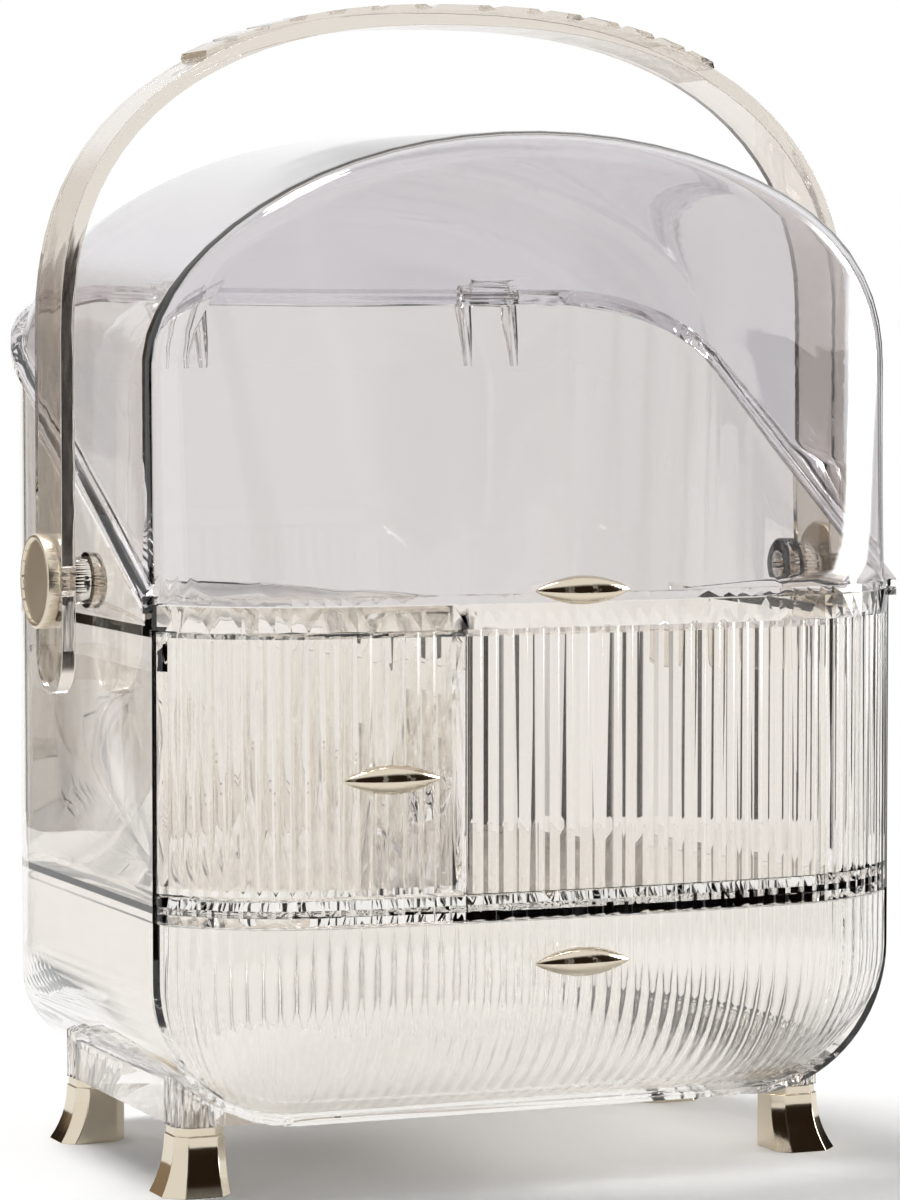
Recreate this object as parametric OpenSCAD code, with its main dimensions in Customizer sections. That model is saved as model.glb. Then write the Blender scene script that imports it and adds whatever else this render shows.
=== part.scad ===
// Clear cosmetics case: bow-front drawers, a hinged dome lid and a swinging arch handle.
// The origin lies on the table under the handle's axis. +X is right, +Y is back, +Z is up.

/* [Case] */
// Outer width over the side walls
case_w = 268; // [256:1:280]
// Thickness of the clear walls
wall_t = 2.4; // [2:0.1:3]
// Height of the case's underside above the table
base_z = 24.5; // [24:0.5:32]
// Radius of the lower corners, seen from the front
base_r = 50; // [42:1:62]
// Reach of the back wall behind the handle axis
back_reach = 108; // [102:1:114]
// Radius of the rear corners, seen from above
back_r = 42; // [36:1:46]

/* [Bowed front] */
// Reach of the bowed front ahead of the handle axis
front_reach = 107; // [100:1:112]
// Radius of the gentle bow across the middle
bow_r = 900; // [700:10:1400]
// Radius of the bow's rounded ends
bow_end_r = 66; // [60:1:72]
// Angle that the bow has turned through where it meets the side wall
bow_end_angle = 60; // [50:1:66]
// Pitch of the vertical ribs along the bow
rib_pitch = 5.4; // [4.5:0.1:7]
// Height of one rib
rib_h = 1.1; // [0.6:0.1:1.5]
// Thickness of the ribbed front walls, over the ribs
front_t = 3.2; // [2.6:0.1:4]

/* [Levels] */
// Height of the seam over the lower drawer
seam_z = 94; // [90:1:104]
// Height of the ribbed band in front of the middle shelf
band_h = 9; // [7:0.5:12]
// Height of the deck's top edge, where the lid lands at the front
deck_z = 197.4; // [190:0.2:206]
// Slope of the parting line from the deck up to the hinge
parting_slope = 29; // [26:0.5:31]
// Across position of the divider's middle
divider_x = -37; // [-50:1:-20]
// Height of the cover at its front arch
lid_top_z = 352; // [346:1:358]
// Rise of the cover's ridge towards the back
ridge_rise = 3; // [0:0.5:5]
// Height where the arch of the cover springs from the side walls
spring_z = 274; // [266:1:280]

/* [Lid] */
// Radius of the lid's front edge
lid_edge_r = 10; // [6:0.5:12]
// Lean of the lid's front: bow left at the ridge, as a share of the bow at the deck
lid_bow_left = 0.45; // [0.3:0.05:0.9]
// How far the rim flanges stand out of the walls
flange_w = 3; // [2.4:0.1:3.2]
// Thickness of each rim flange
flange_t = 2.6; // [2:0.1:3.2]
// Gap between the lid's flange and the case's
lid_gap = 0.35; // [0.3:0.05:0.6]

/* [Hinges] */
// Distance of each hinge from the middle
hinge_x = 60; // [50:1:68]
// Length of the lid's knuckle
knuckle_l = 15; // [12:1:20]
// Outer radius of the knuckles
knuckle_r = 3.4; // [3:0.1:4]
// Radius of the hinge pins
hinge_pin_r = 1.3; // [1:0.1:1.6]
// Thickness of the case's hinge ears
ear_t = 3; // [2.4:0.2:4]
// Length of the pointed gusset under each ear
gusset_l = 27; // [20:1:32]

/* [Handle] */
// Height of the handle's axis
pivot_z = 202; // [196:1:208]
// Room between a side wall and the handle's arm
arm_room = 7.5; // [6.6:0.1:10.5]
// Room for the hand between the lid's crown and the handle
grip_room = 35.3; // [32:0.1:42]
// Height of the arms' bend over the lid's spring line
bend_rise = 10; // [4:0.5:16]
// Squareness of the arch: 2 is an ellipse and more is fuller
handle_fullness = 2.4; // [2.36:0.02:2.7]
// Thickness of the handle's band
handle_t = 5; // [4:0.2:5.4]
// Width of the handle's band
handle_b = 28.6; // [24:0.2:32]
// Length of the rounded tails under the axis
tail_l = 38; // [26:1:42]
// Angle from the crown to each end of the cut grip
grip_angle = 36; // [24:1:44]
// Length of one cut block of the grip
block_l = 12.5; // [9:0.5:18]
// Height that the blocks stand out of the band
block_h = 2.2; // [1:0.1:3]

/* [Pivots] */
// Radius of the axles
axle_r = 5; // [4:0.25:6]
// Radius of the axle's shoulder between arm and wall
shoulder_r = 8; // [7:0.5:11]
// Radius of the round cover discs
disc_r = 16; // [12:0.5:20]
// Thickness of the cover discs
disc_t = 4.6; // [3:0.2:6]
// Radius of the retaining nuts inside the walls
nut_r = 9.5; // [8:0.5:12]
// Thickness of the retaining nuts
nut_t = 5.5; // [4:0.5:7]
// Running gap around the axles
axle_gap = 0.06; // [0.03:0.01:0.09]

/* [Drawers] */
// Gap between a drawer and what it slides in
slide_gap = 0.6; // [0.4:0.1:1]
// Wall thickness of the drawer boxes
drawer_t = 2; // [1.6:0.1:2.6]
// Reveal above and below the drawer fronts
reveal = 0.5; // [0.4:0.1:1]
// Height of the upper drawer's box
upper_box_h = 72; // [50:1:76]

/* [Pulls] */
// Length of the spindle pulls
pull_l = 33; // [26:1:40]
// Radius of the pulls at the middle
pull_r = 4.8; // [4:0.1:6]
// Gap behind a pull for the fingertips
pull_gap = 0.7; // [0.5:0.1:3]
// Radius of the pull's stem
stem_r = 2.5; // [2:0.1:3.2]
// Across position of the upper drawer's pull
upper_pull_x = -66; // [-72:1:-60]
// Height of the upper drawer's pull
upper_pull_z = 142; // [130:1:160]
// Height of the lower drawer's pull
lower_pull_z = 80; // [72:1:84]

/* [Feet] */
// Distance of the feet from the middle
foot_x = 110; // [104:0.5:114]
// Distance of the front feet ahead of the handle axis
front_foot_y = 42; // [36:1:50]
// Distance of the rear feet behind the handle axis
rear_foot_y = 64; // [56:1:72]
// Height of the plated feet
foot_h = 22.5; // [18:0.5:23]
// Width of a foot at its neck
foot_neck_w = 18; // [16:0.5:22]
// How far a foot flares outwards at the table
foot_flare = 5.4; // [3:0.2:9]
// Radius of the screw bosses inside the base frame
boss_r = 5.5; // [4.5:0.1:6]

/* [Hidden] */
$fn = 64;
eps = 0.01;
far = 500;
// Length of a cutter that passes right through a wall
through = 20;
half_w = case_w / 2;
inner_half_w = half_w - wall_t;
// The handle keeps its room beside the case and over the lid
handle_half_w = half_w + arm_room + handle_t;
handle_top_z = lid_top_z + ridge_rise + grip_room + handle_t;
handle_spring_z = spring_z + bend_rise;

// The bow seen from above: a gentle arc with a tighter, tangent arc at each end
end_cx = half_w - bow_end_r * sin(bow_end_angle);
bow_half_angle = asin(end_cx / (bow_r - bow_end_r));
bow_cy = bow_r - front_reach;
end_cy = bow_cy - (bow_r - bow_end_r) * cos(bow_half_angle);
bow_half_s = bow_r * bow_half_angle * PI / 180;
// Where the bow's ends meet the front edges of the side walls
edge_y = end_cy - bow_end_r * cos(bow_end_angle);

function bow_angle(s) = abs(s) <= bow_half_s ? s / bow_r * 180 / PI
    : sign(s) * (bow_half_angle + (abs(s) - bow_half_s) / bow_end_r * 180 / PI);
function bow_at(s, inset) = let (a = bow_angle(s))
    abs(s) <= bow_half_s
    ? [(bow_r - inset) * sin(a), bow_cy - (bow_r - inset) * cos(a)]
    : [sign(s) * (end_cx + (bow_end_r - inset) * sin(abs(a))), end_cy - (bow_end_r - inset) * cos(a)];
// Length along the bow at a given x, on the line that lies inset behind the ribs
function bow_s(x, inset = 0) = let (ax = abs(x), knee = (bow_r - inset) * sin(bow_half_angle))
    sign(x) * (ax <= knee ? asin(ax / (bow_r - inset)) * PI / 180 * bow_r
    : bow_half_s + (asin((ax - end_cx) / (bow_end_r - inset)) - bow_half_angle) * PI / 180 * bow_end_r);
function bow_y(x) = let (ax = min(abs(x), half_w))
    ax <= bow_r * sin(bow_half_angle) ? bow_cy - sqrt(pow(bow_r, 2) - x * x)
    : end_cy - sqrt(max(0, pow(bow_end_r, 2) - pow(ax - end_cx, 2)));
function rib_inset(s) = rib_h * (1 - abs(sin(180 * s / rib_pitch)));
rib_steps = 4;
function bow_stations(s0, s1, step) = concat([s0],
    [for (i = [floor(s0 / step) + 1 : ceil(s1 / step) - 1])
        if (i * step > s0 + step / 5 && i * step < s1 - step / 5) i * step], [s1]);
function ribbed_line(s0, s1) =
    [for (s = bow_stations(s0, s1, rib_pitch / rib_steps)) bow_at(s, rib_inset(s))];
function smooth_line(s0, s1, inset) = [for (s = bow_stations(s0, s1, rib_pitch)) bow_at(s, inset)];
function reversed(list) = [for (i = [len(list) - 1 : -1 : 0]) list[i]];

// Levels worked out from the driving ones
shelf_t = wall_t;
band_top_z = seam_z + band_h;
shelf_top_z = seam_z + band_h * 0.6;
rail_h = 8;
rail_t = 6;
rail_bottom_z = deck_z - rail_h;
deck_t = 2.4;
deck_floor_z = rail_bottom_z - deck_t;
lid_base_z = deck_z + lid_gap;
function parting_z(y) = deck_z + max(0, y - edge_y) * tan(parting_slope);

// Hinge axis, just behind the rim flange at the top of the parting line
axis_y = back_reach + flange_w + 2;
axis_z = parting_z(axis_y) + lid_gap / 2;

module across(half) {
    rotate([90, 0, 90]) linear_extrude(2 * half, center = true) children();
}
module front_to_back(y0, y1) {
    translate([0, y1, 0]) rotate([90, 0, 0]) linear_extrude(y1 - y0) children();
}
module standing(z0, z1) {
    translate([0, 0, z0]) linear_extrude(z1 - z0) children();
}
module both_sides() {
    children();
    mirror([1, 0, 0]) children();
}

// Front view of the whole body: rounded bottom, straight sides, arched top
module body_outline(inset) {
    r = base_r - inset;
    w = half_w - inset;
    arch_step = 6;
    translate([-w, base_z + base_r]) square([2 * w, spring_z - base_z - base_r]);
    translate([r - w, base_z + inset]) square([2 * (w - r), base_r]);
    for (side = [-1, 1]) translate([side * (w - r), base_z + base_r]) circle(r);
    polygon([for (a = [0 : arch_step : 180])
        [w * cos(a), spring_z + (lid_top_z + ridge_rise - spring_z - inset) * sin(a)]]);
}
// Front view of a drawer box: rounded bottom and straight sides up to z1
module tub_outline(inset, z1) {
    r = base_r - inset;
    w = half_w - inset;
    difference() {
        union() {
            translate([-w, base_z + base_r]) square([2 * w, z1]);
            translate([r - w, base_z + inset]) square([2 * (w - r), base_r]);
            for (side = [-1, 1]) translate([side * (w - r), base_z + base_r]) circle(r);
        }
        translate([-far, z1]) square(2 * far);
    }
}
// Top view: straight sides and rounded rear corners
module plan_outline(inset, y0) {
    r = back_r - inset;
    w = half_w - inset;
    y1 = back_reach - inset;
    translate([-w, y0]) square([2 * w, y1 - r - y0]);
    translate([r - w, y0]) square([2 * (w - r), y1 - y0]);
    for (side = [-1, 1]) translate([side * (w - r), y1 - r]) circle(r);
}
module body_block(inset, y0) {
    intersection() {
        front_to_back(y0, back_reach - inset) body_outline(inset);
        standing(0, far) plan_outline(inset, y0 - 1);
    }
}
// Side view of what lies between two lines parallel to the sloping parting line
module parting_slab(z0, z1) {
    line = [for (y = [-far, edge_y, far]) [y, parting_z(y)]];
    across(far) polygon(concat([for (p = line) [p[0], p[1] + z0]],
        [for (p = reversed(line)) [p[0], p[1] + z1]]));
}
// Room for what follows the bow: between the side walls, and over their front edges
module front_room(z0, z1) {
    standing(z0 - 1, z1 + 1) {
        translate([-inner_half_w, -far]) square([2 * inner_half_w, 2 * far]);
        translate([-half_w, edge_y - far]) square([case_w, far]);
    }
}
// Strip that follows the bow between two insets and two heights
module bow_strip(x_end, outer, inner, z0, z1) {
    s_end = bow_s(x_end, inner);
    intersection() {
        standing(z0, z1) polygon(concat(smooth_line(-s_end, s_end, outer),
            reversed(smooth_line(-s_end, s_end, inner))));
        front_room(z0, z1);
    }
}
module ribbed_strip(x0, x1, z0, z1) {
    s0 = bow_s(x0, front_t);
    s1 = bow_s(x1, front_t);
    intersection() {
        standing(z0, z1) polygon(concat(ribbed_line(s0, s1), reversed(smooth_line(s0, s1, front_t))));
        front_room(z0, z1);
    }
}
module rim_flange(z0, z1) {
    intersection() {
        difference() {
            body_block(-flange_w, edge_y);
            body_block(wall_t / 2, edge_y - 1);
        }
        parting_slab(z0, z1);
    }
}

// Case

// The base frame under the case: walls between four ribbed corner posts, each over a foot
plug_l = 3;
boss_bottom_z = foot_h - plug_l;
frame_t = 2.2;
frame_top_z = base_z + base_r / 2;
chamfer_share = 0.22;
module foot_places() {
    for (sx = [-1, 1], y = [-front_foot_y, rear_foot_y]) translate([sx * foot_x, y, 0]) children();
}
// Eight corners of a square of half width h with its own corners cut off by c
function octagon(h, c) = [[-h, -h + c], [-h, h - c], [-h + c, h], [h - c, h],
    [h, h - c], [h, -h + c], [h - c, -h], [-h + c, -h]];
module post_outline(inset) {
    polygon(octagon(foot_neck_w / 2 - inset, foot_neck_w * chamfer_share));
}
module post_ribs() {
    rib_r = 0.9;
    corners = octagon(foot_neck_w / 2 - rib_r / 2, foot_neck_w * chamfer_share);
    for (i = [0 : 7]) let (a = corners[i], b = corners[(i + 1) % 8], count = round(norm(b - a) / 3))
        for (k = [0 : count - 1]) translate(a + (b - a) * (k + 0.5) / count) circle(rib_r, $fn = 16);
}
module frame_outline(inset) {
    h = foot_neck_w / 2 - inset;
    c = foot_neck_w * chamfer_share;
    x = foot_x + h;
    y0 = -front_foot_y - h;
    y1 = rear_foot_y + h;
    polygon([[-x, y0 + c], [-x, y1 - c], [-x + c, y1], [x - c, y1],
        [x, y1 - c], [x, y0 + c], [x - c, y0], [-x + c, y0]]);
}
module base_frame() {
    standing(foot_h, frame_top_z) difference() {
        frame_outline(0.4);
        frame_outline(0.4 + frame_t);
    }
    foot_places() {
        standing(foot_h, frame_top_z) difference() {
            union() {
                post_outline(0.4);
                post_ribs();
            }
            post_outline(0.4 + frame_t);
        }
        standing(boss_bottom_z, frame_top_z) circle(boss_r);
    }
}
screw_r = 1.6;
screw_l = 14;
module case_walls() {
    difference() {
        union() {
            difference() {
                body_block(0, edge_y);
                parting_slab(0, far);
            }
            rim_flange(-flange_t, 0);
            base_frame();
        }
        body_block(wall_t, edge_y - 1);
        for (side = [-1, 1]) translate([side * half_w, 0, pivot_z]) rotate([0, 90, 0])
            cylinder(h = through, r = axle_r, center = true);
        foot_places() standing(boss_bottom_z - 1, boss_bottom_z + screw_l - 4) circle(screw_r);
    }
}
// One hinge ear: a plate around the pin, on a gusset that tapers to a point down the back wall
module hinge_ear() {
    wall_y = back_reach - wall_t / 2;
    tip = [back_reach + 0.6, axis_z - gusset_l];
    across(ear_t / 2) difference() {
        union() {
            translate([axis_y, axis_z]) circle(knuckle_r);
            polygon([[wall_y, tip[1]], tip, [axis_y + knuckle_r * 0.9, axis_z - knuckle_r * 1.2],
                [axis_y + knuckle_r, axis_z], [axis_y - knuckle_r * 0.7, axis_z - knuckle_r * 0.7],
                [wall_y, axis_z - knuckle_r * 1.5]]);
        }
        translate([axis_y, axis_z]) circle(hinge_pin_r + eps);
    }
}
module ear_places() {
    both_sides() for (side = [-1, 1])
        translate([hinge_x + side * (knuckle_l / 2 + ear_t / 2 + lid_gap), 0, 0]) children();
}
module case_shell() {
    color([0.86, 0.85, 0.84, 0.35]) difference() {
        union() {
            case_walls();
            ear_places() hinge_ear();
        }
        both_sides() translate([hinge_x, axis_y, axis_z]) rotate([0, 90, 0])
            cylinder(h = knuckle_l + 2 * lid_gap, r = knuckle_r + 0.8, center = true);
    }
}

// Shelf, divider, bin front and deck

function shelf_outline(inset, x0, x1) = concat(
    smooth_line(bow_s(x0, inset), bow_s(x1, inset), inset),
    [[x1, back_reach - back_r], [x0, back_reach - back_r]]);
module floor_plate(x0, x1, z0, z1, inset) {
    intersection() {
        standing(z0, z1) union() {
            polygon(shelf_outline(inset, x0, x1));
            translate([x0, back_reach - back_r - 1]) square([x1 - x0, back_r]);
        }
        standing(z0 - 1, z1 + 1) plan_outline(wall_t, -far);
    }
}
runner_w = 3;
runner_inset = 10;
upper_floor_z = band_top_z + 2 * reveal;
upper_left_x = -inner_half_w + slide_gap;
upper_right_x = divider_x - wall_t / 2 - slide_gap;
module middle_shelf() {
    color([0.84, 0.83, 0.82, 0.45]) {
        ribbed_strip(-inner_half_w, inner_half_w, seam_z, band_top_z);
        floor_plate(-inner_half_w, inner_half_w, shelf_top_z - shelf_t, shelf_top_z, front_t / 2);
        for (x = [upper_left_x + runner_inset, upper_right_x - runner_inset - runner_w])
            translate([x, edge_y, shelf_top_z - 1])
                cube([runner_w, back_reach - back_r - edge_y, upper_floor_z - reveal - shelf_top_z + 1]);
    }
}
module bin_divider() {
    front_y = bow_at(bow_s(divider_x, front_t), front_t)[1] + 0.1;
    color([0.86, 0.85, 0.84, 0.35]) translate([divider_x - wall_t / 2, front_y, shelf_top_z])
        cube([wall_t, back_reach - wall_t - front_y, deck_floor_z - shelf_top_z]);
}
module bin_front() {
    color([0.86, 0.85, 0.84, 0.4])
        ribbed_strip(divider_x - wall_t / 2, inner_half_w, band_top_z, rail_bottom_z);
}
module deck_tray() {
    floor_inset = front_t + slide_gap;
    ledge_w = 7;
    well_margin = 6;
    well_y = bow_y(0) + rail_t + 2 * well_margin;
    well_w = divider_x + inner_half_w - 2 * well_margin;
    color([0.86, 0.85, 0.84, 0.4]) {
        bow_strip(inner_half_w, 0, rail_t, rail_bottom_z, deck_z);
        difference() {
            floor_plate(-inner_half_w, inner_half_w, deck_floor_z, rail_bottom_z + 1, floor_inset);
            floor_plate(divider_x + wall_t / 2, inner_half_w - ledge_w, deck_floor_z - 1, rail_bottom_z + 2,
                rail_t);
            translate([well_margin - inner_half_w, well_y, rail_bottom_z])
                cube([well_w, back_reach - 2 * well_margin - well_y, ledge_w]);
        }
    }
}

// Upper drawer

module upper_drawer() {
    pull_y = bow_at(bow_s(upper_pull_x), front_t)[1];
    y_back = back_reach - back_r;
    front_top = rail_bottom_z - reveal;
    color([0.85, 0.84, 0.83, 0.4]) difference() {
        union() {
            ribbed_strip(upper_left_x, upper_right_x, upper_floor_z, front_top);
            standing(upper_floor_z, upper_floor_z + upper_box_h) polygon(
                shelf_outline(front_t / 2, upper_left_x, upper_right_x));
        }
        difference() {
            standing(upper_floor_z + drawer_t, front_top + 1) polygon(
                shelf_outline(front_t, upper_left_x + drawer_t, upper_right_x - drawer_t));
            translate([-far, y_back - drawer_t, 0]) cube([2 * far, far, far]);
        }
        translate([upper_pull_x, pull_y, upper_pull_z]) rotate([90, 0, 0])
            cylinder(h = through, r = stem_r, center = true);
    }
}

// Lower drawer: a tub that follows the case's rounded bottom, behind a pillowed ribbed front

tub_inset = wall_t + slide_gap;
lower_top_z = seam_z - reveal;
front_join = 6;
module lower_drawer_tray() {
    y_back = back_reach - tub_inset;
    color([0.85, 0.84, 0.83, 0.4]) difference() {
        intersection() {
            front_to_back(edge_y + front_join, y_back) tub_outline(tub_inset, lower_top_z);
            standing(0, far) plan_outline(tub_inset, -far);
        }
        intersection() {
            front_to_back(edge_y, y_back - drawer_t)
                tub_outline(tub_inset + drawer_t, lower_top_z + 1);
            standing(0, far) plan_outline(tub_inset + drawer_t, -far);
        }
    }
}

// The pillowed front follows the bow and rolls back under it, to end in the plane pillow_end_y on
// the tub's rounded outline. Each rib lies in the upright plane square to the bow at its head, so
// the ribs of the corners draw together as they run down.
pillow_z = base_z + base_r;
pillow_rows = 8;
pillow_margin = 2.5;
pillow_end_y = edge_y + front_join;
pillow_end_angle = acos((end_cy - pillow_end_y) / bow_end_r) - pillow_margin;
pillow_s = bow_half_s + bow_end_r * (pillow_end_angle - bow_half_angle) * PI / 180;
// A point drawn in onto the tub's outline where it lies outside it
function in_tub(p, wall) = let (cx = half_w - base_r, r = base_r - tub_inset - wall,
    dx = abs(p[0]) - cx, dz = pillow_z - p[2], k = r / max(r, sqrt(dx * dx + dz * dz)))
    dz <= 0 ? [sign(p[0]) * min(abs(p[0]), cx + r), p[1], p[2]]
    : dx <= 0 ? [p[0], p[1], max(p[2], pillow_z - r)]
    : [sign(p[0]) * (cx + dx * k), p[1], pillow_z - dz * k];
function tub_z(x, wall) = let (r = base_r - tub_inset - wall)
    pillow_z - sqrt(max(1, r * r - pow(max(0, abs(x) - half_w + base_r), 2)));
function pillow_column(s, inset, wall) = let (a = bow_angle(s), top = bow_at(s, inset),
    back = pillow_end_y - top[1], end_x = top[0] - back * tan(a), drop = pillow_z - tub_z(end_x, wall),
    turn = acos(1 - back / (bow_end_r * cos(a)))) concat([in_tub([top[0], top[1], lower_top_z], wall)],
    [for (i = [0 : pillow_rows]) let (t = turn * i / pillow_rows, in = (1 - cos(t)) / (1 - cos(turn)))
        in_tub([top[0] + (end_x - top[0]) * in, top[1] + back * in, pillow_z - drop * sin(t) / sin(turn)],
            wall)]);
// One side of the front's wall: its columns, closed on the tub's rim at both ends
function pillow_skin(stations, insets, wall) =
    let (columns = [for (i = [0 : len(stations) - 1]) pillow_column(stations[i], insets[i], wall)],
         rim = [for (c = [columns[0], columns[len(columns) - 1]]) [for (p = c) [p[0], pillow_end_y, p[2]]]])
    [for (c = concat([rim[0]], columns, [rim[1]])) each c];
module lower_drawer_front() {
    stations = bow_stations(-pillow_s, pillow_s, rib_pitch / rib_steps);
    outside = pillow_skin(stations, [for (s = stations) rib_inset(s)], 0);
    inside = pillow_skin(stations, [for (s = stations) front_t], drawer_t);
    rows = pillow_rows + 2;
    size = len(outside);
    face = [for (c = [0 : len(stations)], r = [0 : rows - 2]) let (p = c * rows + r) each
        [[p, p + 1, p + rows], [p + rows, p + 1, p + rows + 1]]];
    back = [for (f = face) [size + f[2], size + f[1], size + f[0]]];
    // The edge of the wall: down the left rim, along the bottom, up the right rim and along the top
    edge = concat([for (r = [0 : rows - 1]) r], [for (p = [2 * rows - 1 : rows : size - 1]) p],
        [for (r = [2 : rows]) size - r], [for (p = [size - 2 * rows : -rows : rows]) p]);
    rim = [for (i = [0 : len(edge) - 1]) let (a = edge[i], b = edge[(i + 1) % len(edge)]) each
        [[a, size + b, b], [a, size + a, size + b]]];
    color([0.84, 0.83, 0.82, 0.4]) difference() {
        polyhedron(concat(outside, inside), concat(face, back, rim));
        translate([0, bow_y(0), lower_pull_z]) rotate([90, 0, 0])
            cylinder(h = through, r = stem_r, center = true);
    }
}

// Lid: a dome of arched sections, with a leaning bowed front and a deeply rounded back.
// Each row of the net is [kind, position]: a fan over the front face, the rolled front edge,
// the ridge, the round of the back, and a fan over the back face.
lid_cols = 44;
lid_fan = [0.3, 0.6, 0.85];
edge_steps = 4;
back_steps = 6;
lid_rows = concat(
    [for (f = lid_fan) ["front", f]],
    [for (i = [0 : edge_steps]) ["edge", i / edge_steps * 90]],
    [["ridge", 0.5]],
    [for (i = [0 : back_steps]) ["round", i / back_steps * 90]],
    [for (f = reversed(lid_fan)) ["back", f]]);
function lid_front_y(x, z, t) = edge_y + t - (edge_y - bow_y(x))
    * (1 - (1 - lid_bow_left) * max(0, z - lid_base_z) / (lid_top_z - lid_base_z));
function ridge_z(y) = lid_top_z + ridge_rise * max(0, min(1, (y - edge_y) / (back_reach - back_r - edge_y)));
// A point of the arched section with a given inset, u from 0 (left foot) to 1 (right foot)
function arch_at(u, inset, foot_z, top_z) = let (w = half_w - inset, rise = top_z - inset - spring_z,
    leg = max(0, spring_z - foot_z), a0 = asin(max(0, min(0.98, (foot_z - spring_z) / rise))),
    run = (90 - a0) * PI / 180 * (w + rise) / 2, side = u < 0.5 ? -1 : 1,
    d = min(u, 1 - u) * 2 * (leg + run), a = a0 + (d - leg) / run * (90 - a0))
    d < leg ? [side * w, foot_z + d] : [side * w * cos(a), spring_z + rise * sin(a)];
function lid_foot(y) = lid_gap + parting_z(y);
function lid_point(row, u, t) = let (kind = row[0], p = row[1], edge_r = lid_edge_r - t, r = back_r - t)
    kind == "front" ? let (q = arch_at(u, lid_edge_r, lid_base_z, lid_top_z), x = q[0] * p,
        z = lid_base_z + (q[1] - lid_base_z) * p) [x, lid_front_y(x, z, t), z]
    : kind == "edge" ? let (inset = t + edge_r * (1 - sin(p)), q0 = arch_at(u, inset, lid_base_z, lid_top_z),
        y = lid_front_y(q0[0], q0[1], t) + edge_r * (1 - cos(p)),
        q = arch_at(u, inset, lid_foot(y), lid_top_z)) [q[0], y, q[1]]
    : kind == "ridge" ? let (y0 = edge_y + lid_edge_r, y = y0 + (back_reach - back_r - y0) * p,
        q = arch_at(u, t, lid_foot(y), ridge_z(y))) [q[0], y, q[1]]
    : kind == "round" ? let (y = back_reach - back_r + r * sin(p), inset = t + r * (1 - cos(p)),
        q = arch_at(u, inset, lid_foot(y), ridge_z(y))) [q[0], y, q[1]]
    : let (y = back_reach - t, foot = lid_foot(y), q = arch_at(u, back_r, foot, ridge_z(y)))
        [q[0] * p, y, foot + (q[1] - foot) * p];
module lid_shell() {
    n = len(lid_rows);
    m = lid_cols + 1;
    function skin(t) = concat([for (row = lid_rows, i = [0 : lid_cols]) lid_point(row, i / lid_cols, t)],
        [[0, lid_front_y(0, lid_base_z, t), lid_base_z], [0, back_reach - t, lid_foot(back_reach - t)]]);
    size = n * m + 2;
    function at(r, c) = r * m + c;
    skins = [for (r = [0 : n - 2], c = [0 : lid_cols - 1]) each [
        [at(r, c), at(r + 1, c), at(r, c + 1)],
        [at(r, c + 1), at(r + 1, c), at(r + 1, c + 1)]]];
    caps = [for (c = [0 : lid_cols - 1]) each [
        [n * m, at(0, c), at(0, c + 1)],
        [n * m + 1, at(n - 1, c + 1), at(n - 1, c)]]];
    outside = concat(skins, caps);
    inside = [for (f = outside) [size + f[2], size + f[1], size + f[0]]];
    // The open foot of the dome, from the front middle round the left side, the back and the right
    loop = concat([n * m], [for (r = [0 : n - 1]) at(r, 0)], [n * m + 1],
        [for (r = [n - 1 : -1 : 0]) at(r, lid_cols)]);
    foot = [for (i = [0 : len(loop) - 1]) let (a = loop[i], b = loop[(i + 1) % len(loop)]) each
        [[a, size + b, b], [a, size + a, size + b]]];
    polyhedron(concat(skin(0), skin(wall_t)), concat(outside, inside, foot));
}
module lid_knuckle() {
    across(knuckle_l / 2) difference() {
        union() {
            translate([axis_y, axis_z]) circle(knuckle_r);
            polygon([[axis_y - 1, axis_z + knuckle_r], [back_reach - wall_t / 2, axis_z + knuckle_r + 1.5],
                [back_reach - wall_t / 2, axis_z + 1], [axis_y - 1, axis_z - 1]]);
        }
        translate([axis_y, axis_z]) circle(hinge_pin_r + axle_gap);
    }
}
lid_pull_z = lid_base_z + 4;
module lid_dome() {
    color([0.88, 0.87, 0.88, 0.3]) difference() {
        union() {
            lid_shell();
            difference() {
                rim_flange(lid_gap, lid_gap + flange_t);
                both_sides() translate([hinge_x, axis_y, axis_z]) rotate([0, 90, 0])
                    cylinder(h = knuckle_l + 2 * (ear_t + 3 * lid_gap), r = knuckle_r + 0.8, center = true);
            }
            bow_strip(inner_half_w, 0, front_t, lid_base_z, lid_base_z + flange_t);
            both_sides() translate([hinge_x, 0, 0]) lid_knuckle();
        }
        translate([0, -front_reach, lid_pull_z]) rotate([90, 0, 0])
            cylinder(h = through, r = stem_r, center = true);
    }
}

// Hinge pins

module hinge_pin(side) {
    length = knuckle_l + 2 * (ear_t + lid_gap);
    color("silver") translate([side * hinge_x, axis_y, axis_z]) rotate([0, 90, 0])
        cylinder(h = length, r = hinge_pin_r, center = true, $fn = 32);
}
module hinge_pin_left() { hinge_pin(-1); }
module hinge_pin_right() { hinge_pin(1); }

// Pulls: a spindle with rounded ends on a short stem through the front

function spindle_r(x) = pull_r * pow(cos(90 * x / (pull_l / 2 + 0.6)), 0.8);
module pull(x, z, face_y, skin) {
    steps = 10;
    centre_y = face_y - pull_gap - pull_r * 0.9;
    color([0.86, 0.76, 0.6]) translate([x, 0, z]) {
        translate([0, centre_y, 0]) rotate([0, 90, 0]) rotate_extrude() polygon(concat(
            [[0, -pull_l / 2]],
            [for (i = [-steps : steps]) [spindle_r(i / steps * pull_l / 2), i / steps * pull_l / 2]],
            [[0, pull_l / 2]]));
        translate([0, centre_y, 0]) rotate([-90, 0, 0])
            cylinder(h = face_y + skin - centre_y, r = stem_r, $fn = 32);
    }
}
module lid_pull() { pull(0, lid_pull_z, -front_reach, front_t); }
module upper_drawer_pull() {
    pull(upper_pull_x, upper_pull_z, bow_y(upper_pull_x), front_t + 1.5);
}
module lower_drawer_pull() { pull(0, lower_pull_z, -front_reach, front_t + 1.5); }

// Handle

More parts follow.
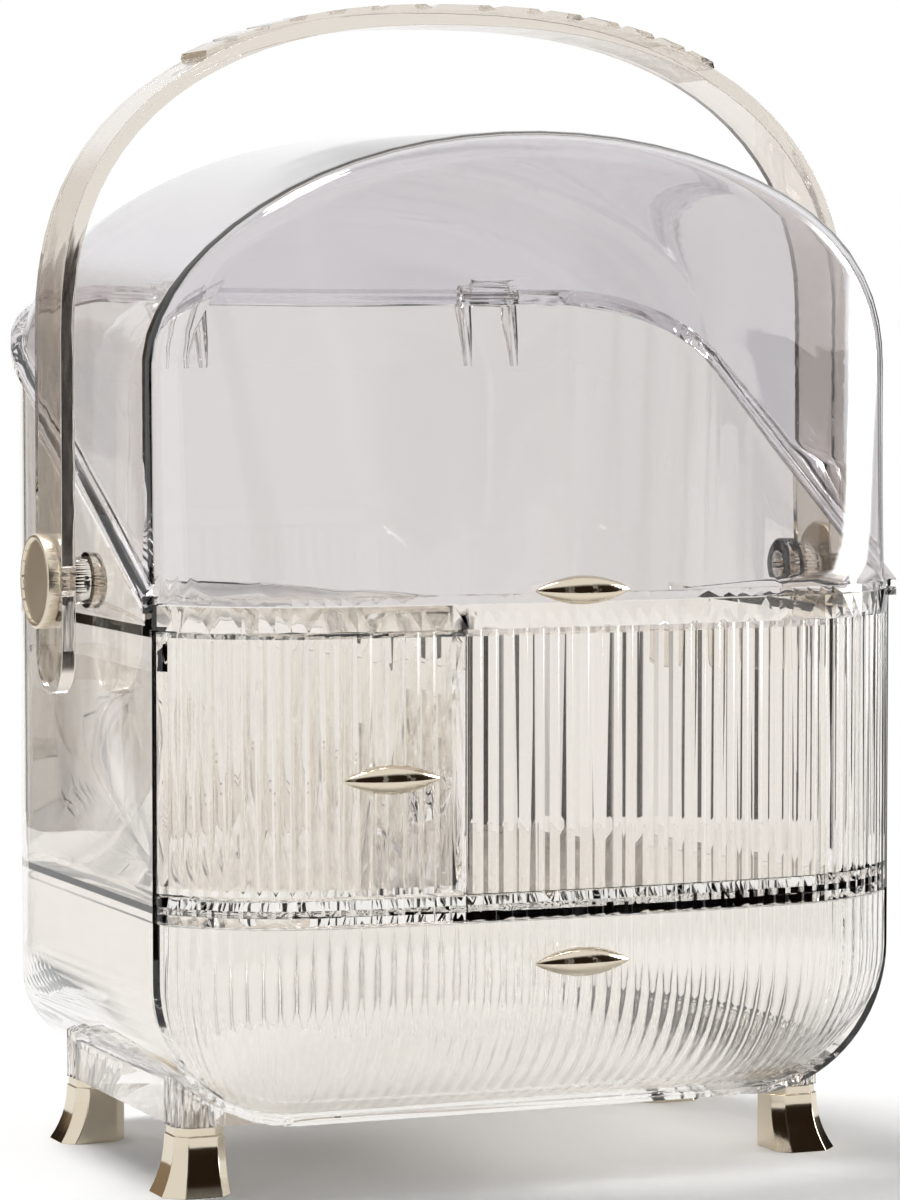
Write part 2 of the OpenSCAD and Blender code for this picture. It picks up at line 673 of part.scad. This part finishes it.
function handle_arch_line(inset, a0, a1, step) = [for (a = [a0 : step : a1])
    let (c = cos(a), s = sin(a), w = handle_half_w - inset, rise = handle_top_z - inset - handle_spring_z)
    [sign(c) * w * pow(abs(c), 2 / handle_fullness),
     handle_spring_z + rise * pow(abs(s), 2 / handle_fullness)]];
module handle_outline() {
    step = 4.5;
    foot_z = pivot_z - tail_l;
    inner_w = handle_half_w - handle_t;
    polygon(concat([[handle_half_w, foot_z]], handle_arch_line(0, 0, 180, step), [[-handle_half_w, foot_z]],
        [[-inner_w, foot_z]], handle_arch_line(handle_t, 180, 0, -step), [[inner_w, foot_z]]));
}
module handle_arch() {
    tail_r = handle_b / 2;
    color([0.87, 0.87, 0.86, 0.4]) difference() {
        intersection() {
            front_to_back(-handle_b / 2, handle_b / 2) handle_outline();
            across(handle_half_w + 1) union() {
                translate([-handle_b / 2, pivot_z - tail_l + tail_r]) square([handle_b, far]);
                translate([0, pivot_z - tail_l + tail_r]) circle(tail_r);
            }
        }
        for (side = [-1, 1]) translate([side * handle_half_w, 0, pivot_z]) rotate([0, 90, 0])
            cylinder(h = through, r = axle_r + axle_gap, center = true);
    }
}
// The grip: blocks cut into the outside of a sleeve that lies on the band, with V notches between
function grip_angle_at(i, n) = 90 + grip_angle - 2 * grip_angle * i / n;
module handle_grip() {
    arc_l = 2 * grip_angle * PI / 180 * (handle_half_w + handle_top_z - handle_spring_z) / 2;
    count = max(6, round(arc_l / block_l));
    notch = 0.14;
    levels = [for (i = [0 : count - 1]) each [[i + notch, 1], [i + 1 - notch, 1], [i + 1, 0.35]]];
    outer = concat([[0, 0.35]], levels);
    function lifted(i, h) = handle_arch_line(-h, grip_angle_at(i, count), grip_angle_at(i, count), 1)[0];
    function seat(i) = lifted(i, -handle_t / 2);
    color([0.8, 0.78, 0.75, 0.5]) intersection() {
        difference() {
            front_to_back(-handle_b / 2 + 1, handle_b / 2 - 1) polygon(concat(
                [for (o = outer) lifted(o[0], o[1] * block_h)],
                [for (i = [count : -0.5 : 0]) seat(i)]));
            front_to_back(-handle_b, handle_b) handle_outline();
        }
        across(handle_half_w) polygon([[-handle_b / 2 + 1, 0], [-handle_b / 2 + 1, handle_top_z - 45],
            [-handle_b / 2 + 4, far], [handle_b / 2 - 4, far], [handle_b / 2 - 1, handle_top_z - 45],
            [handle_b / 2 - 1, 0]]);
    }
}

// Pivots: axle with a shoulder, plated cover disc outside, nut inside

arm_inner_x = handle_half_w - handle_t;
disc_gap = 0.5;
module on_axis(side, x) {
    translate([side * x, 0, pivot_z]) rotate([0, side * 90, 0]) children();
}
module pivot_axle(side) {
    tip_x = half_w - wall_t - nut_t;
    color([0.9, 0.9, 0.89, 0.5]) {
        on_axis(side, tip_x) cylinder(h = handle_half_w + disc_gap - tip_x, r = axle_r - eps);
        on_axis(side, half_w) cylinder(h = arm_inner_x - half_w - disc_gap, r = shoulder_r);
    }
}
module pivot_disc(side) {
    dish = 0.8;
    rim = 1.6;
    color([0.87, 0.76, 0.6]) on_axis(side, handle_half_w + disc_gap) rotate_extrude() polygon([
        [0, 0], [disc_r - 0.8, 0], [disc_r, 0.8], [disc_r, disc_t - 0.6], [disc_r - 0.6, disc_t],
        [disc_r - rim, disc_t], [disc_r - rim - 0.5, disc_t - dish], [0, disc_t - dish]]);
}
module pivot_nut(side) {
    chamfer = 1;
    color([0.9, 0.9, 0.89, 0.5]) on_axis(side, half_w - wall_t) rotate_extrude() polygon([
        [axle_r, 0], [nut_r, 0], [nut_r, chamfer - nut_t], [nut_r - chamfer, -nut_t], [axle_r, -nut_t]]);
}
module pivot_axle_left() { pivot_axle(-1); }
module pivot_axle_right() { pivot_axle(1); }
module pivot_disc_left() { pivot_disc(-1); }
module pivot_disc_right() { pivot_disc(1); }
module pivot_nut_left() { pivot_nut(-1); }
module pivot_nut_right() { pivot_nut(1); }

// Feet: eight-sided, straight on the inner sides and flaring on the outer ones

foot_rows = 7;
collar_h = 3;
function foot_flare_at(k) = foot_flare * pow(1 - k, 2.2);
// Corners of the plan, which flares by f on its outer side and its outer end
function foot_section(f) =
    let (h = foot_neck_w / 2, c = foot_neck_w * chamfer_share, o = h + f, oc = c + f * 0.4)
    [[-o, -o + oc], [-o, h - c], [-o + c, h], [h - c, h],
     [h, h - c], [h, -o + c], [h - c, -o], [-o + oc, -o]];
module foot(sx, y, turn) {
    body_h = foot_h - collar_h;
    levels = [for (i = [0 : foot_rows]) [i / foot_rows * body_h, foot_flare_at(i / foot_rows)]];
    n = 8;
    points = [for (l = levels) each [for (p = foot_section(l[1])) [p[0], p[1], l[0]]]];
    sides = [for (r = [0 : foot_rows - 1], i = [0 : n - 1]) let (j = (i + 1) % n) each [
        [r * n + i, r * n + j, (r + 1) * n + i], [r * n + j, (r + 1) * n + j, (r + 1) * n + i]]];
    bottom = [for (i = [1 : n - 2]) [0, i + 1, i]];
    top = [for (i = [1 : n - 2]) [foot_rows * n, foot_rows * n + i, foot_rows * n + i + 1]];
    color([0.85, 0.79, 0.7]) translate([sx * foot_x, y, 0]) difference() {
        union() {
            mirror([sx > 0 ? 1 : 0, 0, 0]) mirror([0, turn, 0])
                polyhedron(points, concat(sides, bottom, top));
            standing(body_h - 0.5, foot_h) post_outline(0.5);
        }
        standing(boss_bottom_z, foot_h + 1) circle(boss_r + 0.1);
        standing(-1, boss_bottom_z - 4) circle(screw_r * 2.4);
        standing(-1, boss_bottom_z + 1) circle(screw_r + 0.2);
    }
}
module foot_front_left() { foot(-1, -front_foot_y, 0); }
module foot_front_right() { foot(1, -front_foot_y, 0); }
module foot_rear_left() { foot(-1, rear_foot_y, 1); }
module foot_rear_right() { foot(1, rear_foot_y, 1); }
module foot_screws() {
    color("silver") foot_places() {
        standing(boss_bottom_z - 7, boss_bottom_z - 4) circle(screw_r * 2);
        standing(boss_bottom_z - 5, boss_bottom_z - 5 + screw_l) circle(screw_r - eps);
    }
}

case_shell();
middle_shelf();
bin_divider();
bin_front();
deck_tray();
upper_drawer();
lower_drawer_tray();
lower_drawer_front();
lid_dome();
lid_pull();
upper_drawer_pull();
lower_drawer_pull();
hinge_pin_left();
hinge_pin_right();
handle_arch();
handle_grip();
pivot_axle_left();
pivot_axle_right();
pivot_disc_left();
pivot_disc_right();
pivot_nut_left();
pivot_nut_right();
foot_front_left();
foot_front_right();
foot_rear_left();
foot_rear_right();
foot_screws();
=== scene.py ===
import math

import bpy
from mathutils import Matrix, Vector


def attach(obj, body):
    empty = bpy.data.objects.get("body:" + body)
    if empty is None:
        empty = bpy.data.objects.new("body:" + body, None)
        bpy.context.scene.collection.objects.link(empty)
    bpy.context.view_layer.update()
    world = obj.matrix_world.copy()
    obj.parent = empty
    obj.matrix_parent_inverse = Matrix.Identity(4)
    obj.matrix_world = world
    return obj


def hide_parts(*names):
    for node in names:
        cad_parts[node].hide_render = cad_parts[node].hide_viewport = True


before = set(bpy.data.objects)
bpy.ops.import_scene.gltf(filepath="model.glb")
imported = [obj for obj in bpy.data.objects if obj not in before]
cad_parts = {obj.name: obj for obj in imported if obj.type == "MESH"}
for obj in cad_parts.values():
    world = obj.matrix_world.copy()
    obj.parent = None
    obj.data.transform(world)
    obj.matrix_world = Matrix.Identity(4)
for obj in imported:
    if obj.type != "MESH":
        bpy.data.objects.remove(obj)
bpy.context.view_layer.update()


# Helpers

def hexColour(text):
    parts = [int(text[i:i + 2], 16) / 255 for i in (1, 3, 5)]
    linear = [p / 12.92 if p <= 0.04045 else ((p + 0.055) / 1.055) ** 2.4 for p in parts]
    return (*linear, 1.0)


def addNode(tree, kind, links=(), **settings):
    node = tree.nodes.new(kind)
    for name, value in settings.items():
        if hasattr(node, name):
            setattr(node, name, value)
        else:
            node.inputs[name.replace("_", " ")].default_value = value
    for socket, source in links:
        tree.links.new(source, node.inputs[socket])
    return node


# An empty material and its tree
def newMaterial(name):
    mat = bpy.data.materials.new(name)
    mat.use_nodes = True
    mat.node_tree.nodes.clear()
    return mat, mat.node_tree


def deselectAll():
    bpy.ops.object.select_all(action="DESELECT")


def pick(obj):
    deselectAll()
    obj.select_set(True)
    bpy.context.view_layer.objects.active = obj


def applyModifiers(obj):
    pick(obj)
    for modifier in list(obj.modifiers):
        bpy.ops.object.modifier_apply(modifier=modifier.name)


# How a copy is merged and rounded: distance and angles at which its points and faces join,
# in metres and degrees
copying = dict(mergeDistance=2e-6, flatAngle=0.05, smoothAngle=35, edgeAngle=50)


# A merged copy of a CAD node, shaded smooth, that stands for it. Its edges are rounded over
# the width that bevel gives.
def mouldedCopy(node, name, body, slotName, material, angle=copying["smoothAngle"], bevel=0.0,
                segments=3, bevelAngle=copying["edgeAngle"]):
    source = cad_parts[node]
    obj = bpy.data.objects.new(name, source.data.copy())
    bpy.context.scene.collection.objects.link(obj)
    pick(obj)
    bpy.ops.object.mode_set(mode="EDIT")
    bpy.ops.mesh.select_all(action="SELECT")
    bpy.ops.mesh.remove_doubles(threshold=copying["mergeDistance"])
    bpy.ops.object.mode_set(mode="OBJECT")
    if bevel:
        bpy.ops.object.mode_set(mode="EDIT")
        bpy.ops.mesh.select_all(action="SELECT")
        bpy.ops.mesh.dissolve_limited(angle_limit=math.radians(copying["flatAngle"]))
        bpy.ops.object.mode_set(mode="OBJECT")
        rounding = obj.modifiers.new("edges", "BEVEL")
        rounding.width = bevel
        rounding.segments = segments
        rounding.limit_method = "ANGLE"
        rounding.angle_limit = math.radians(bevelAngle)
        applyModifiers(obj)
    bpy.ops.object.shade_smooth_by_angle(angle=math.radians(angle))
    evened = obj.modifiers.new("even_normals", "WEIGHTED_NORMAL")
    evened.keep_sharp = True
    applyModifiers(obj)
    obj.data.materials.clear()
    obj.data.materials.append(material)
    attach(obj, body)
    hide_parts(node)


# Materials

# Injection-moulded clear polystyrene: polished, so sharp reflections, with a faint warm tint
# that adds up from wall to wall, and slow waves in the surface from the mould's flow. The lid's
# greyer tint is partly the plastic's own tint and partly a painted grey reflection
clearLook = {
    "case": dict(tint="#F7F4F0", roughness=0.01, wave=0.10, waveSize=38),
    # The lid's grey-lavender tint: partly the plastic's own tint, partly a painted reflection of
    # a grey surround
    "lid": dict(tint="#E7E5E7", roughness=0.012, wave=0.08, waveSize=70),
    "drawer": dict(tint="#FBFAF8", roughness=0.01, wave=0.10, waveSize=30),
    "handle": dict(tint="#E8E1D8", roughness=0.005, wave=0.25, waveSize=14),
}
clearBody = dict(ior=1.57, waveHeight=0.0004, shadowColour="#DADADA")


def clearPlastic(name, tint, roughness, wave, waveSize):
    mat, tree = newMaterial(name)
    place = addNode(tree, "ShaderNodeTexCoord")
    flow = addNode(tree, "ShaderNodeTexNoise", [("Vector", place.outputs["Object"])],
                   Scale=1000 / waveSize, Detail=1.5, Roughness=0.4)
    relief = addNode(tree, "ShaderNodeBump", [("Height", flow.outputs["Fac"])],
                     Strength=wave, Distance=clearBody["waveHeight"])
    clear = addNode(tree, "ShaderNodeBsdfPrincipled", [("Normal", relief.outputs["Normal"])],
                    Base_Color=hexColour(tint), Roughness=roughness, IOR=clearBody["ior"],
                    Transmission_Weight=1.0)
    # Each wall takes a part of the light, so that the case casts a grey shadow
    path = addNode(tree, "ShaderNodeLightPath")
    through = addNode(tree, "ShaderNodeBsdfTransparent",
                      Color=hexColour(clearBody["shadowColour"]))
    mixed = addNode(tree, "ShaderNodeMixShader",
                    [("Fac", path.outputs["Is Shadow Ray"]), (1, clear.outputs["BSDF"]),
                     (2, through.outputs["BSDF"])])
    addNode(tree, "ShaderNodeOutputMaterial", [("Surface", mixed.outputs["Shader"])])
    return mat


# ABS electroplated in a champagne-gold colour: mirror bright on the pulls and feet, satin on the
# discs, with faint ripples of the plating, in metres high and millimetres long
platedLook = dict(colour="#DBD0BC", rippleSize=9, ripple=0.15, rippleHeight=0.0002)


def goldPlate(name, roughness):
    mat, tree = newMaterial(name)
    place = addNode(tree, "ShaderNodeTexCoord")
    ripple = addNode(tree, "ShaderNodeTexNoise", [("Vector", place.outputs["Object"])],
                     Scale=1000 / platedLook["rippleSize"], Detail=2.0)
    relief = addNode(tree, "ShaderNodeBump", [("Height", ripple.outputs["Fac"])],
                     Strength=platedLook["ripple"], Distance=platedLook["rippleHeight"])
    metal = addNode(tree, "ShaderNodeBsdfPrincipled", [("Normal", relief.outputs["Normal"])],
                    Base_Color=hexColour(platedLook["colour"]), Roughness=roughness, Metallic=1.0)
    addNode(tree, "ShaderNodeOutputMaterial", [("Surface", metal.outputs["BSDF"])])
    return mat


# Plain turned steel, for the hinge pins and the screws: grey, with fine tool marks
steelLook = dict(colour="#C9C8C5", roughness=0.25, markSize=0.8, mark=0.2, markHeight=0.00005)


def plainSteel(name):
    mat, tree = newMaterial(name)
    place = addNode(tree, "ShaderNodeTexCoord")
    turned = addNode(tree, "ShaderNodeTexNoise", [("Vector", place.outputs["Object"])],
                     Scale=1000 / steelLook["markSize"], Detail=3.0)
    relief = addNode(tree, "ShaderNodeBump", [("Height", turned.outputs["Fac"])],
                     Strength=steelLook["mark"], Distance=steelLook["markHeight"])
    metal = addNode(tree, "ShaderNodeBsdfPrincipled", [("Normal", relief.outputs["Normal"])],
                    Base_Color=hexColour(steelLook["colour"]),
                    Roughness=steelLook["roughness"], Metallic=1.0)
    addNode(tree, "ShaderNodeOutputMaterial", [("Surface", metal.outputs["BSDF"])])
    return mat


clearCase = clearPlastic("clear_polystyrene_case", **clearLook["case"])
clearLid = clearPlastic("clear_polystyrene_lid", **clearLook["lid"])
clearDrawer = clearPlastic("clear_polystyrene_drawers", **clearLook["drawer"])
clearHandle = clearPlastic("clear_polystyrene_handle", **clearLook["handle"])
gold = goldPlate("champagne_gold_electroplate", 0.08)
satinGold = goldPlate("champagne_gold_satin", 0.27)
steel = plainSteel("turned_steel")
print("materials made")

# Pieces

for node, body, slotName, material, bevel in [
        ("case_shell", "case", "clear_case", clearCase, 0.0),
        ("middle_shelf", "case", "clear_case", clearCase, 0.0),
        ("bin_divider", "case", "clear_case", clearCase, 0.0003),
        ("bin_front", "case", "clear_case", clearCase, 0.0),
        ("deck_tray", "case", "clear_case", clearCase, 0.0),
        ("upper_drawer", "upper_drawer", "clear_drawer", clearDrawer, 0.0),
        ("lower_drawer_tray", "lower_drawer", "clear_drawer", clearDrawer, 0.0),
        ("lower_drawer_front", "lower_drawer", "clear_drawer", clearDrawer, 0.0),
        ("lid_dome", "lid", "clear_lid", clearLid, 0.0),
        ("handle_arch", "handle", "clear_handle", clearHandle, 0.0012),
        ("handle_grip", "handle", "clear_handle", clearHandle, 0.0),
]:
    mouldedCopy(node, node + "_moulding", body, slotName, material, bevel=bevel)
print("clear mouldings made")

for node in ("pivot_axle_left", "pivot_axle_right", "pivot_nut_left", "pivot_nut_right"):
    mouldedCopy(node, node + "_moulding", "case", "clear_handle", clearHandle)
for node in ("pivot_disc_left", "pivot_disc_right"):
    mouldedCopy(node, node + "_plated", "case", "gold_plate", satinGold)
footEdges = dict(angle=30, bevel=0.0005, segments=2, bevelAngle=32)
for node in ("foot_front_left", "foot_front_right", "foot_rear_left", "foot_rear_right"):
    mouldedCopy(node, node + "_plated", "case", "gold_plate", gold, **footEdges)
mouldedCopy("lid_pull", "lid_pull_plated", "lid", "gold_plate", gold)
mouldedCopy("upper_drawer_pull", "upper_drawer_pull_plated", "upper_drawer", "gold_plate", gold)
mouldedCopy("lower_drawer_pull", "lower_drawer_pull_plated", "lower_drawer", "gold_plate", gold)
for node in ("hinge_pin_left", "hinge_pin_right", "foot_screws"):
    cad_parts[node].data.materials.clear()
    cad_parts[node].data.materials.append(steel)
print("plated pieces made")

# Stage, light and camera

studio = dict(floorSize=14.0, floorColour="#F7F7F7", skyLight=0.40, sunStrength=2.25,
              sunAngle=20, sunAim=(0.16, -0.28, -1.0))

# Cards that only mirrors and clear pieces see: headings in degrees, radius, width, height and
# colour. The strips leave the headings free at which the sides and the main view look through.
stripHeadings = (43, 66, 118, 152, 203, 244, 297, 339)
cards = {
    "near_strip": dict(headings=stripHeadings, radius=1.1, width=0.19, height=0.50,
                       colour="#1E1A16"),
    "far_strip": dict(headings=stripHeadings, radius=3.5, width=0.50, height=1.6,
                      colour="#4A453F"),
    "front_panel": dict(headings=(135, 165, 195, 225), radius=0.62, width=0.42, height=0.80,
                        colour="#2B2118", through=False),
    "rear_left_panel": dict(headings=(335,), radius=2.2, width=1.6, height=1.5,
                            colour="#97846E", through=False),
}
softBox = dict(place=(1.70, -0.40, 0.75), size=(0.95, 1.5), strength=14.0, footFade=0.08)
# Shares of a card's width and height over which it fades out
cardFade = dict(side=0.22, top=0.45)
viewpoint = dict(place=(-0.612, -1.479, 0.2889), target=(-0.00435, -0.0091, 0.1928),
                 lens=138.2, sensor=36, nearest=0.05, farthest=50)


def plainSurface(name, kind, **settings):
    mat, tree = newMaterial(name)
    shade = addNode(tree, kind, **settings)
    addNode(tree, "ShaderNodeOutputMaterial", [("Surface", shade.outputs[0])])
    return mat


# A card's edges fade out at the sides and the top, and a soft box's also at the bottom
def fadedCard(name, colour, strength=1.0, footFade=0.001):
    mat, tree = newMaterial(name)
    place = addNode(tree, "ShaderNodeTexCoord")
    axes = addNode(tree, "ShaderNodeSeparateXYZ", [("Vector", place.outputs["Generated"])])
    side = addNode(tree, "ShaderNodeMath", [(0, axes.outputs["X"])], operation="PINGPONG")
    side.inputs[1].default_value = 0.5
    sideFade = addNode(tree, "ShaderNodeMapRange", [("Value", side.outputs["Value"])],
                       interpolation_type="SMOOTHSTEP", From_Max=cardFade["side"])
    topFade = addNode(tree, "ShaderNodeMapRange", [("Value", axes.outputs["Y"])],
                      interpolation_type="SMOOTHSTEP", From_Min=1.0,
                      From_Max=1 - cardFade["top"])
    bottomFade = addNode(tree, "ShaderNodeMapRange", [("Value", axes.outputs["Y"])],
                         interpolation_type="SMOOTHSTEP", From_Max=footFade)
    upright = addNode(tree, "ShaderNodeMath",
                      [(0, bottomFade.outputs["Result"]), (1, topFade.outputs["Result"])],
                      operation="MULTIPLY")
    cover = addNode(tree, "ShaderNodeMath",
                    [(0, sideFade.outputs["Result"]), (1, upright.outputs["Value"])],
                    operation="MULTIPLY")
    clear = addNode(tree, "ShaderNodeBsdfTransparent")
    shade = addNode(tree, "ShaderNodeEmission", Color=hexColour(colour), Strength=strength)
    mixed = addNode(tree, "ShaderNodeMixShader",
                    [("Fac", cover.outputs["Value"]), (1, clear.outputs["BSDF"]),
                     (2, shade.outputs["Emission"])])
    addNode(tree, "ShaderNodeOutputMaterial", [("Surface", mixed.outputs["Shader"])])
    return mat


# A card that only mirrors and clear pieces see, with its face to the object
def addCard(name, place, width, height, material):
    deselectAll()
    bpy.ops.mesh.primitive_plane_add(size=1)
    card = bpy.context.active_object
    card.name = name
    card.scale = (width, height, 1)
    card.rotation_mode = "QUATERNION"
    card.rotation_quaternion = (Vector((0, 0, place[2])) - Vector(place)).to_track_quat("Z", "Y")
    card.location = place
    card.data.materials.append(material)
    card.visible_camera = False
    card.visible_diffuse = False
    card.visible_shadow = False
    return card


# Cards of one kind that stand on the floor around the object
def addRing(name, headings, radius, width, height, colour, through=True):
    material = fadedCard(name, colour)
    for heading in headings:
        turn = math.radians(heading)
        card = addCard(f"{name}_{heading}", (radius * math.sin(turn), radius * math.cos(turn),
                                             height / 2), width, height, material)
        card.visible_transmission = through


def makeStage():
    deselectAll()
    bpy.ops.mesh.primitive_plane_add(size=studio["floorSize"], location=(0, 0, 0))
    floor = bpy.context.active_object
    floor.name = "floor"
    floor.data.materials.append(plainSurface("pale_floor", "ShaderNodeBsdfDiffuse",
                                             Color=hexColour(studio["floorColour"])))

    for name, look in cards.items():
        addRing(name, **look)
    glowing = fadedCard("soft_box", "#FFFFFF", softBox["strength"], softBox["footFade"])
    box = addCard("soft_box_right", softBox["place"], *softBox["size"], glowing)
    box.visible_transmission = False

    # A soft sun from above and a little behind, so that the shadow falls forward
    data = bpy.data.lights.new("key", "SUN")
    data.energy = studio["sunStrength"]
    data.angle = math.radians(studio["sunAngle"])
    key = bpy.data.objects.new("key", data)
    bpy.context.scene.collection.objects.link(key)
    key.rotation_mode = "QUATERNION"
    key.rotation_quaternion = Vector(studio["sunAim"]).to_track_quat("-Z", "Y")

    world = bpy.data.worlds.new("studio")
    bpy.context.scene.world = world
    world.use_nodes = True
    tree = world.node_tree
    tree.nodes.clear()
    path = addNode(tree, "ShaderNodeLightPath")
    seen = addNode(tree, "ShaderNodeMath",
                   [(0, path.outputs["Is Camera Ray"]), (1, path.outputs["Is Glossy Ray"])],
                   operation="MAXIMUM")
    seenThrough = addNode(tree, "ShaderNodeMath",
                          [(0, seen.outputs["Value"]), (1, path.outputs["Is Transmission Ray"])],
                          operation="MAXIMUM")
    strength = addNode(tree, "ShaderNodeMapRange", [("Value", seenThrough.outputs["Value"])])
    strength.inputs["To Min"].default_value = studio["skyLight"]
    strength.inputs["To Max"].default_value = 1.0
    glow = addNode(tree, "ShaderNodeBackground", [("Strength", strength.outputs["Result"])],
                   Color=(1, 1, 1, 1))
    addNode(tree, "ShaderNodeOutputWorld", [("Surface", glow.outputs["Background"])])


def makeCamera():
    data = bpy.data.cameras.new("camera")
    camera = bpy.data.objects.new("camera", data)
    bpy.context.scene.collection.objects.link(camera)
    place = Vector(viewpoint["place"])
    target = Vector(viewpoint["target"])
    camera.location = place
    camera.rotation_mode = "QUATERNION"
    camera.rotation_quaternion = (target - place).to_track_quat("-Z", "Y")
    data.lens = viewpoint["lens"]
    data.sensor_width = viewpoint["sensor"]
    data.clip_start = viewpoint["nearest"]
    data.clip_end = viewpoint["farthest"]
    bpy.context.scene.camera = camera


makeStage()
makeCamera()
bpy.context.scene.view_settings.view_transform = "Standard"

# Enough bounces for light that runs inside the clear walls
lightPaths = dict(max_bounces=36, transmission_bounces=36, glossy_bounces=36,
                  transparent_max_bounces=24)
for setting, count in lightPaths.items():
    setattr(bpy.context.scene.cycles, setting, count)
print("stage and camera made")
